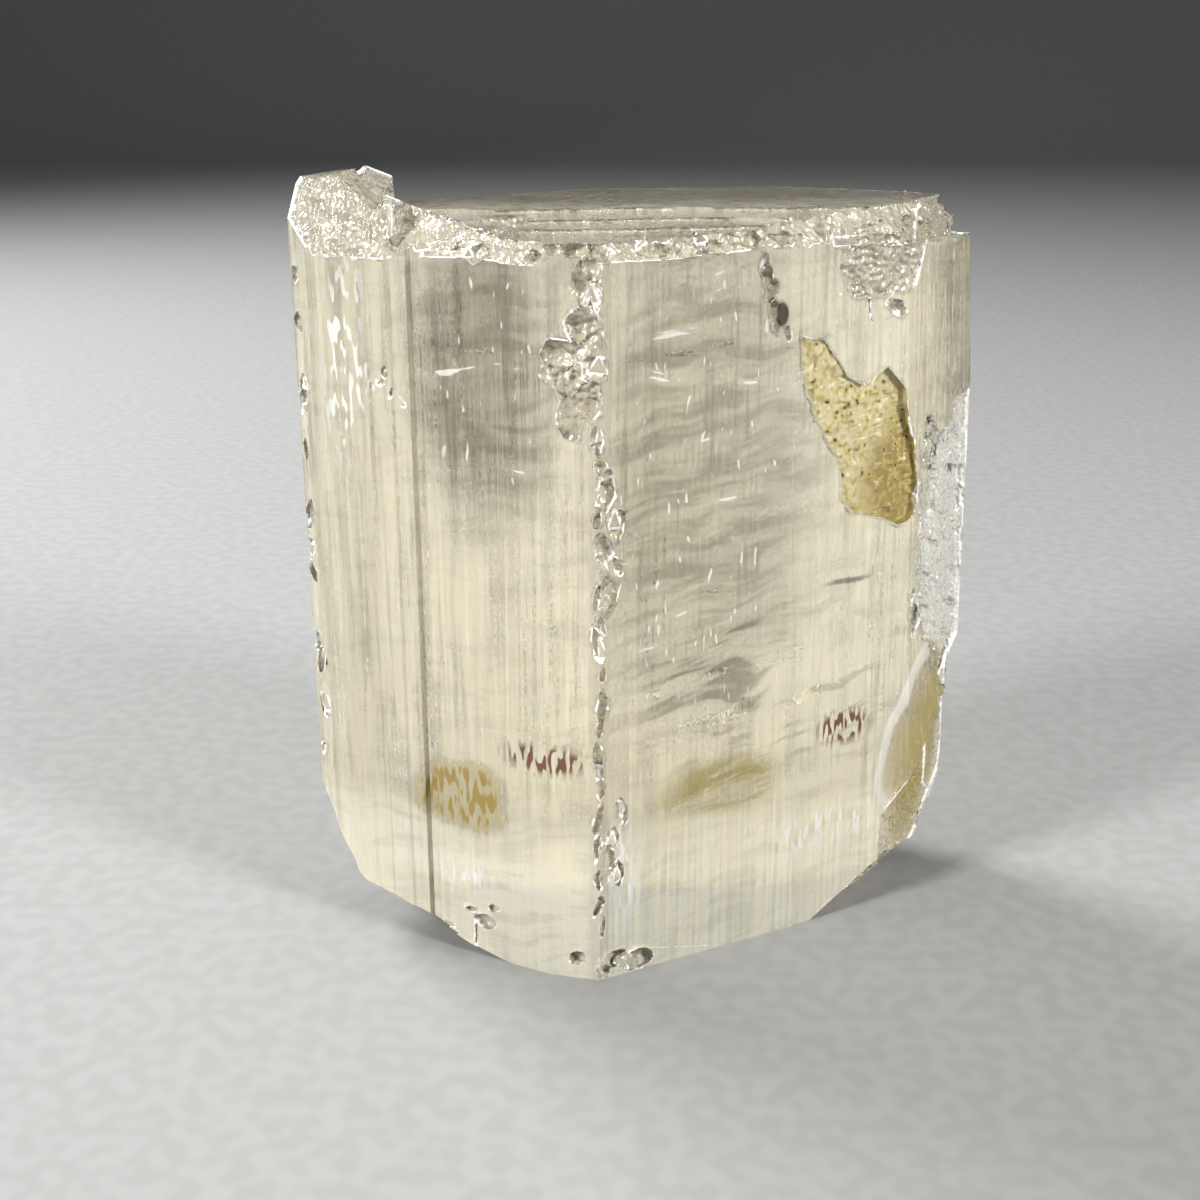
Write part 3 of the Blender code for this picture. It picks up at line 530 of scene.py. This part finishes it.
class Skin:
    """The coordinates, patterns and masks that the crystal's colour, clouds and gloss share."""

    def __init__(self, nodes):
        self.where = nodes.millimetres()
        ragged = nodes.wobbled(self.where, WOBBLE_PER_MM, WOBBLE_REACH)
        axes = nodes.add("ShaderNodeSeparateXYZ", {"Vector": ragged})
        self.depth, self.height = axes.outputs[1], axes.outputs[2]
        self.broken = nodes.attribute("frost")
        self.stain = nodes.attribute("stain")
        self.cleavage = nodes.attribute("cleavage")
        self.wear = nodes.ramp(nodes.attribute("wear"), 0.15, 0.65)
        self.draw_patterns(nodes, ragged)
        self.patches = {name: nodes.blob(ragged, *patch) for name, patch in RAGGED_PATCHES.items()}
        for name, patch in EVEN_PATCHES.items():
            self.patches[name] = nodes.blob(self.where, *patch)
        self.draw_clear_and_hazy(nodes)
        self.draw_stains(nodes)
        self.draw_bright(nodes, ragged)
        self.draw_painted_shade(nodes)

    def draw_patterns(self, nodes, ragged):
        """Upright streaks, nearly level bands, fine upright scratches and speckle, about 0.3 to 0.8."""
        self.streaks = nodes.noise(nodes.scaled(self.where, STREAKS_PER_MM), 1.0, 2.0, 0.75)
        turned = nodes.turned(ragged, BANDS_PER_MM, BANDS_TURN_DEG)
        self.bands = nodes.noise(turned, 1.0, 2.0, 0.7)
        self.scratches = nodes.noise(nodes.scaled(self.where, SCRATCHES_PER_MM), 1.0, 0.0)
        self.speckle = nodes.noise(self.where, SPECKLE_PER_MM, 0.0)

    def draw_clear_and_hazy(self, nodes):
        """Frost on the breaks and the nose, the clear zones, and the haze everywhere else."""
        self.frost = nodes.most(self.broken, nodes.times(self.patches["nose_edge"], NOSE_FROST))
        self.clear_zone = nodes.most(self.patches["clear_left"], self.patches["clear_right"])
        haze = nodes.times_plus(self.clear_zone, -0.8, 1.0)
        haze = nodes.times(haze, nodes.ramp(self.streaks, 0.40, 0.60, 0.8, 1.0))
        self.haze = nodes.times(haze, nodes.ramp(self.depth, *HAZE_BACK_Y, 1.0, 0.45))

    def draw_stains(self, nodes):
        """The golden patch, the olive patch beside the nose, and the reddish ticks."""
        self.gold = nodes.times(self.patches["gold"], nodes.ramp(self.scratches, 0.35, 0.60, 0.5, 1.0))
        olive = nodes.times(self.patches["olive_low"], nodes.ramp(self.bands, 0.38, 0.55, 0.3, 1.0))
        self.olive_low = olive
        rust = nodes.most(self.patches["rust_left"], self.patches["rust_right"])
        self.rust = nodes.times(rust, nodes.ramp(self.scratches, 0.50, 0.56))

    def draw_bright(self, nodes, ragged):
        """White: painted glints as nearly level flecks and short upright ones, then the real bruises and
        the crack round the olive break.
        """
        spots = [nodes.blob(ragged, *bruise, BRUISE_SOFTNESS) for bruise in BRUISES]
        bruise = nodes.times(nodes.most(*spots), nodes.ramp(self.scratches, 0.50, 0.62))
        rim = self.patches["olive_side"]
        crack = nodes.times(nodes.ramp(rim, 0.05, 0.20), nodes.ramp(rim, 0.55, 0.35))
        # Painted glints: nearly level flecks from the bands and short upright flecks from the scratches,
        # stronger in the clear zones.
        painted_glints = nodes.most(nodes.ramp(self.bands, 0.65, 0.69), nodes.ramp(self.scratches, 0.75, 0.80))
        painted_glints = nodes.times(painted_glints, nodes.ramp(self.clear_zone, 0.0, 1.0, 0.3, 0.8))
        self.bright = nodes.most(painted_glints, bruise, crack)

    def draw_painted_shade(self, nodes):
        """Painted shade: dark wavy bands low on the right, dark upright streaks high on the left, and a
        short dark dash.
        """
        bands = nodes.ramp(self.bands, 0.47, 0.36)
        bands = nodes.times(bands, nodes.ramp(self.patches["wavy"], 0.0, 1.0, 0.25, 1.0))
        streaks = nodes.ramp(self.streaks, 0.42, 0.34)
        streaks = nodes.times(streaks, nodes.ramp(self.patches["left_strip"], 0.0, 1.0, 0.5, 1.0))
        streaks = nodes.times(streaks, nodes.ramp(self.height, *DARK_STREAKS_Z, 0.3, 1.0))
        painted_shade = nodes.times(nodes.most(bands, streaks), nodes.ramp(self.clear_zone, 0.0, 1.0, 0.35, 0.9))
        self.painted_shade = nodes.most(painted_shade, self.patches["painted_dark_dash"])


def stain_colour(nodes, skin):
    """Tan, golden where it is thick, with olive clouds and dark specks."""
    colour = nodes.mix(skin.patches["deep_stain"], TAN, GOLD)
    colour = nodes.mix(nodes.ramp(skin.speckle, 0.45, 0.70), colour, OLIVE)
    return nodes.mix(nodes.ramp(skin.speckle, 0.75, 0.78), colour, SPECK)


def crystal_colour(nodes, skin):
    """Cream haze over clear windows and windows darkened by painted shade, then each tint over the ones
    before it, painted shade and painted glints among them.
    """
    # Windows dimmed in bands: painted shade in the see-through glass.
    window = nodes.mix(nodes.ramp(skin.bands, 0.38, 0.62), SHADED_WINDOW, CLEAR)
    colour = nodes.mix(skin.haze, window, CREAM)
    tints = (
        # Painted shade
        (skin.painted_shade, PAINTED_SHADE_GREY),
        # Painted glints, with the real bruises and the crack
        (skin.bright, WHITE),
        # In the sparkle patch the frost turns white: a painted sparkle.
        (skin.frost, nodes.mix(skin.patches["sparkle"], FROST, WHITE)),
        (nodes.times(skin.cleavage, CLEAVAGE_TINT), TAUPE),
        (skin.gold, GOLD),
        (nodes.times(skin.olive_low, OLIVE_LOW_TINT), OLIVE),
        (nodes.times(skin.patches["olive_side"], OLIVE_SIDE_TINT), OLIVE),
        (skin.rust, RUST),
        (skin.stain, stain_colour(nodes, skin)),
        (skin.wear, WHITE),
        (skin.patches["speck"], SPECK),
    )
    for mask, tint in tints:
        colour = nodes.mix(mask, colour, tint)
    return colour


def crystal_clearness(nodes, skin):
    """How much of the light passes the skin: all of it but what the thickest cloud stops."""
    solid = nodes.most(skin.gold, skin.stain, skin.rust, skin.wear, skin.patches["speck"])
    clouds = (
        (skin.haze, HAZE_CLOUD),
        (skin.bright, BRIGHT_CLOUD),
        (skin.frost, FROST_CLOUD),
        (solid, SOLID_CLOUD),
        (nodes.ramp(skin.height, *CLOUDY_FOOT_Z), FOOT_CLOUD),
        (skin.patches["olive_side"], OLIVE_CLOUD),
        (nodes.times(skin.patches["sparkle"], skin.frost), SPARKLE_CLOUD),
    )
    thickest = nodes.most(*[nodes.times(mask, share) for mask, share in clouds])
    return nodes.math("SUBTRACT", 1.0, thickest, clamp=True)


def crystal_roughness(nodes, skin):
    """Glossy walls with duller streaks, and matt breaks and stain."""
    walls = nodes.ramp(skin.streaks, 0.40, 0.65, 0.02, 0.12)
    breaks = nodes.times(nodes.ramp(skin.speckle, 0.35, 0.65, 0.06, 0.30), skin.frost)
    return nodes.most(walls, breaks, nodes.times(skin.stain, STAIN_ROUGHNESS))


def crystal_relief(nodes, skin):
    """Fine upright lines on the walls and a speckle that is stronger on the breaks."""
    lines = nodes.noise(nodes.scaled(skin.where, LINES_PER_MM), 1.0, 0.0, 0.7)
    height = nodes.times_plus(skin.speckle, nodes.ramp(skin.broken, 0.0, 1.0, 0.2, 1.5), lines)
    values = {"Strength": RELIEF_STRENGTH, "Distance": RELIEF_HEIGHT, "Height": height}
    return nodes.add("ShaderNodeBump", values).outputs[0]


def crystal_material():
    """Clear to hazy champagne topaz, frosted on the breaks and stained in places."""
    material = bpy.data.materials.new("topaz")
    nodes = Nodes(material)
    skin = Skin(nodes)
    values = {
        "Base Color": crystal_colour(nodes, skin),
        "Roughness": crystal_roughness(nodes, skin),
        "IOR": TOPAZ_IOR,
        "Transmission Weight": crystal_clearness(nodes, skin),
        "Normal": crystal_relief(nodes, skin),
    }
    shader = nodes.add("ShaderNodeBsdfPrincipled", values)
    absorbed = {"Color": ABSORPTION_COLOR, "Density": ABSORPTION_DENSITY}
    nodes.finish(shader, nodes.add("ShaderNodeVolumeAbsorption", absorbed))
    return material


def film_material():
    """The skin of a partly healed crack: bright where it lies open, gone where it has healed."""
    material = bpy.data.materials.new("healed_crack")
    nodes = Nodes(material)
    where = nodes.millimetres()
    broken = nodes.noise(where, 0.9, 1.0, 0.7)
    shade = nodes.noise(where, 2.5, 0.0)
    values = {
        "Base Color": nodes.mix(nodes.ramp(shade, 0.4, 0.6), FILM_GREY, WHITE),
        "Roughness": nodes.ramp(shade, 0.3, 0.7, 0.12, 0.35),
        "Alpha": nodes.ramp(broken, 0.44, 0.60, 0.0, 0.75),
    }
    nodes.finish(nodes.add("ShaderNodeBsdfPrincipled", values))
    return material


def film_point(ring, spoke, half_length, half_width, tilt, shift):
    """A point of a film: millimetres along it, across it and up from its centre."""
    angle = 2 * math.pi * spoke / FILM_SPOKES
    around = Vector((math.cos(angle), math.sin(angle), 0.0))
    border = FILM_BORDER + FILM_BORDER_STRAY * noise.noise(around * FILM_BORDER_WAVES + shift)
    share = ring / FILM_RINGS * border
    along, across = around.x * half_length * share, around.y * half_width * share
    wave = noise.noise(Vector((along, across, 0.0)) / FILM_WAVE_WIDTH + shift)
    return along, across, math.tan(tilt) * along + FILM_WAVE * wave


def film(number, material, centre, half_length, half_width, heading_deg, tilt_deg):
    """A thin wavy film inside the crystal, along its cleavage: an irregular oval, nearly level."""
    heading, tilt = math.radians(heading_deg), math.radians(tilt_deg)
    # Each film reads its own part of the noise
    shift = Vector((number * 3.1, number * 1.7, 0.0))
    bm = bmesh.new()
    hub = bm.verts.new(place(*centre))
    rows = []
    for ring in range(1, FILM_RINGS + 1):
        row = []
        for spoke in range(FILM_SPOKES):
            along, across, up = film_point(ring, spoke, half_length, half_width, tilt, shift)
            x = along * math.cos(heading) - across * math.sin(heading)
            y = along * math.sin(heading) + across * math.cos(heading)
            row.append(bm.verts.new(place(centre[0] + x, centre[1] + y, centre[2] + up)))
        rows.append(row)
    for i in range(FILM_SPOKES):
        bm.faces.new((hub, rows[0][i], rows[0][(i + 1) % FILM_SPOKES]))
    for inner, outer in zip(rows, rows[1:]):
        for i in range(FILM_SPOKES):
            j = (i + 1) % FILM_SPOKES
            bm.faces.new((inner[i], outer[i], outer[j], inner[j]))
    for face in bm.faces:
        face.smooth = True
    name = f"inner_film_{number}"
    mesh = bpy.data.meshes.new(name)
    bm.to_mesh(mesh)
    bm.free()
    mesh.materials.append(material)
    piece = link(bpy.data.objects.new(name, mesh))
    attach(piece, "root")


def inner_films():
    material = film_material()
    for i, row in enumerate(FILMS):
        film(i + 1, material, *row)


def floor_material():
    """A pale matt sheet with a faint mottle."""
    material = bpy.data.materials.new("pale_floor")
    nodes = Nodes(material)
    where = nodes.add("ShaderNodeTexCoord").outputs["Object"]
    tooth = nodes.noise(where, FLOOR_TOOTH_PER_M, 0.0)
    colour = nodes.mix(nodes.ramp(tooth, 0.3, 0.7), FLOOR_DARK, FLOOR_PALE)
    values = {"Base Color": colour, "Roughness": FLOOR_ROUGHNESS}
    nodes.finish(nodes.add("ShaderNodeBsdfPrincipled", values))
    return material


def floor_and_backdrop():
    """One pale sheet: flat under the crystal, then bending up far behind it."""
    profile = [(SHEET_NEAR_Y, 0.0), (SHEET_BEND_Y, 0.0)]
    for i in range(1, SHEET_BEND_STEPS + 1):
        angle = math.pi / 2 * i / SHEET_BEND_STEPS
        back, up = math.sin(angle), 1 - math.cos(angle)
        profile.append((SHEET_BEND_Y + SHEET_BEND_RADIUS * back, SHEET_BEND_RADIUS * up))
    profile.append((SHEET_BEND_Y + SHEET_BEND_RADIUS, SHEET_TOP_Z))
    bm = bmesh.new()
    left = [bm.verts.new((-SHEET_HALF_WIDTH, y, z)) for y, z in profile]
    right = [bm.verts.new((SHEET_HALF_WIDTH, y, z)) for y, z in profile]
    for i in range(len(profile) - 1):
        face = bm.faces.new((left[i], right[i], right[i + 1], left[i + 1]))
        face.smooth = True
    mesh = bpy.data.meshes.new("backdrop")
    bm.to_mesh(mesh)
    bm.free()
    sheet = link(bpy.data.objects.new("backdrop", mesh))
    mesh.materials.append(floor_material())


def soft_light(name, direction_deg, height_deg, distance, size, watts):
    """A soft rectangular light that aims at the crystal's middle."""
    light = bpy.data.lights.new(name, "AREA")
    light.shape = "RECTANGLE"
    light.size, light.size_y = size
    light.energy = watts
    obj = link(bpy.data.objects.new(name, light))
    turn, tilt = math.radians(direction_deg), math.radians(height_deg)
    away = Vector((math.cos(turn) * math.cos(tilt), math.sin(turn) * math.cos(tilt), math.sin(tilt)))
    obj.location = LIGHT_TARGET + away * distance
    obj.rotation_euler = (-away).to_track_quat("-Z", "Y").to_euler()


def lights():
    for row in LIGHTS:
        soft_light(*row)
    world = bpy.data.worlds.new("room")
    bpy.context.scene.world = world
    world.use_nodes = True
    background = world.node_tree.nodes["Background"]
    background.inputs["Color"].default_value = ROOM_COLOR
    background.inputs["Strength"].default_value = ROOM_STRENGTH


def camera():
    data = bpy.data.cameras.new("camera")
    data.lens = CAMERA_LENS
    data.sensor_width = CAMERA_SENSOR
    data.clip_start = 1.0 * MM
    obj = link(bpy.data.objects.new("camera", data))
    obj.location = NOSE_FOOT + CAMERA_FROM_NOSE
    obj.rotation_euler = (math.radians(90.0 - CAMERA_PITCH_DEG), 0.0, 0.0)
    bpy.context.scene.camera = obj
    bpy.context.scene.view_settings.view_transform = "Standard"


def light_paths():
    """Enough bounces for the walls to show through each other, and no more."""
    cycles = bpy.context.scene.cycles
    cycles.use_light_tree = False
    cycles.max_bounces = 4
    cycles.transmission_bounces = 4
    cycles.glossy_bounces = 3
    cycles.transparent_max_bounces = 4
    cycles.diffuse_bounces = 1


crystal_piece()
inner_films()
floor_and_backdrop()
lights()
camera()
light_paths()
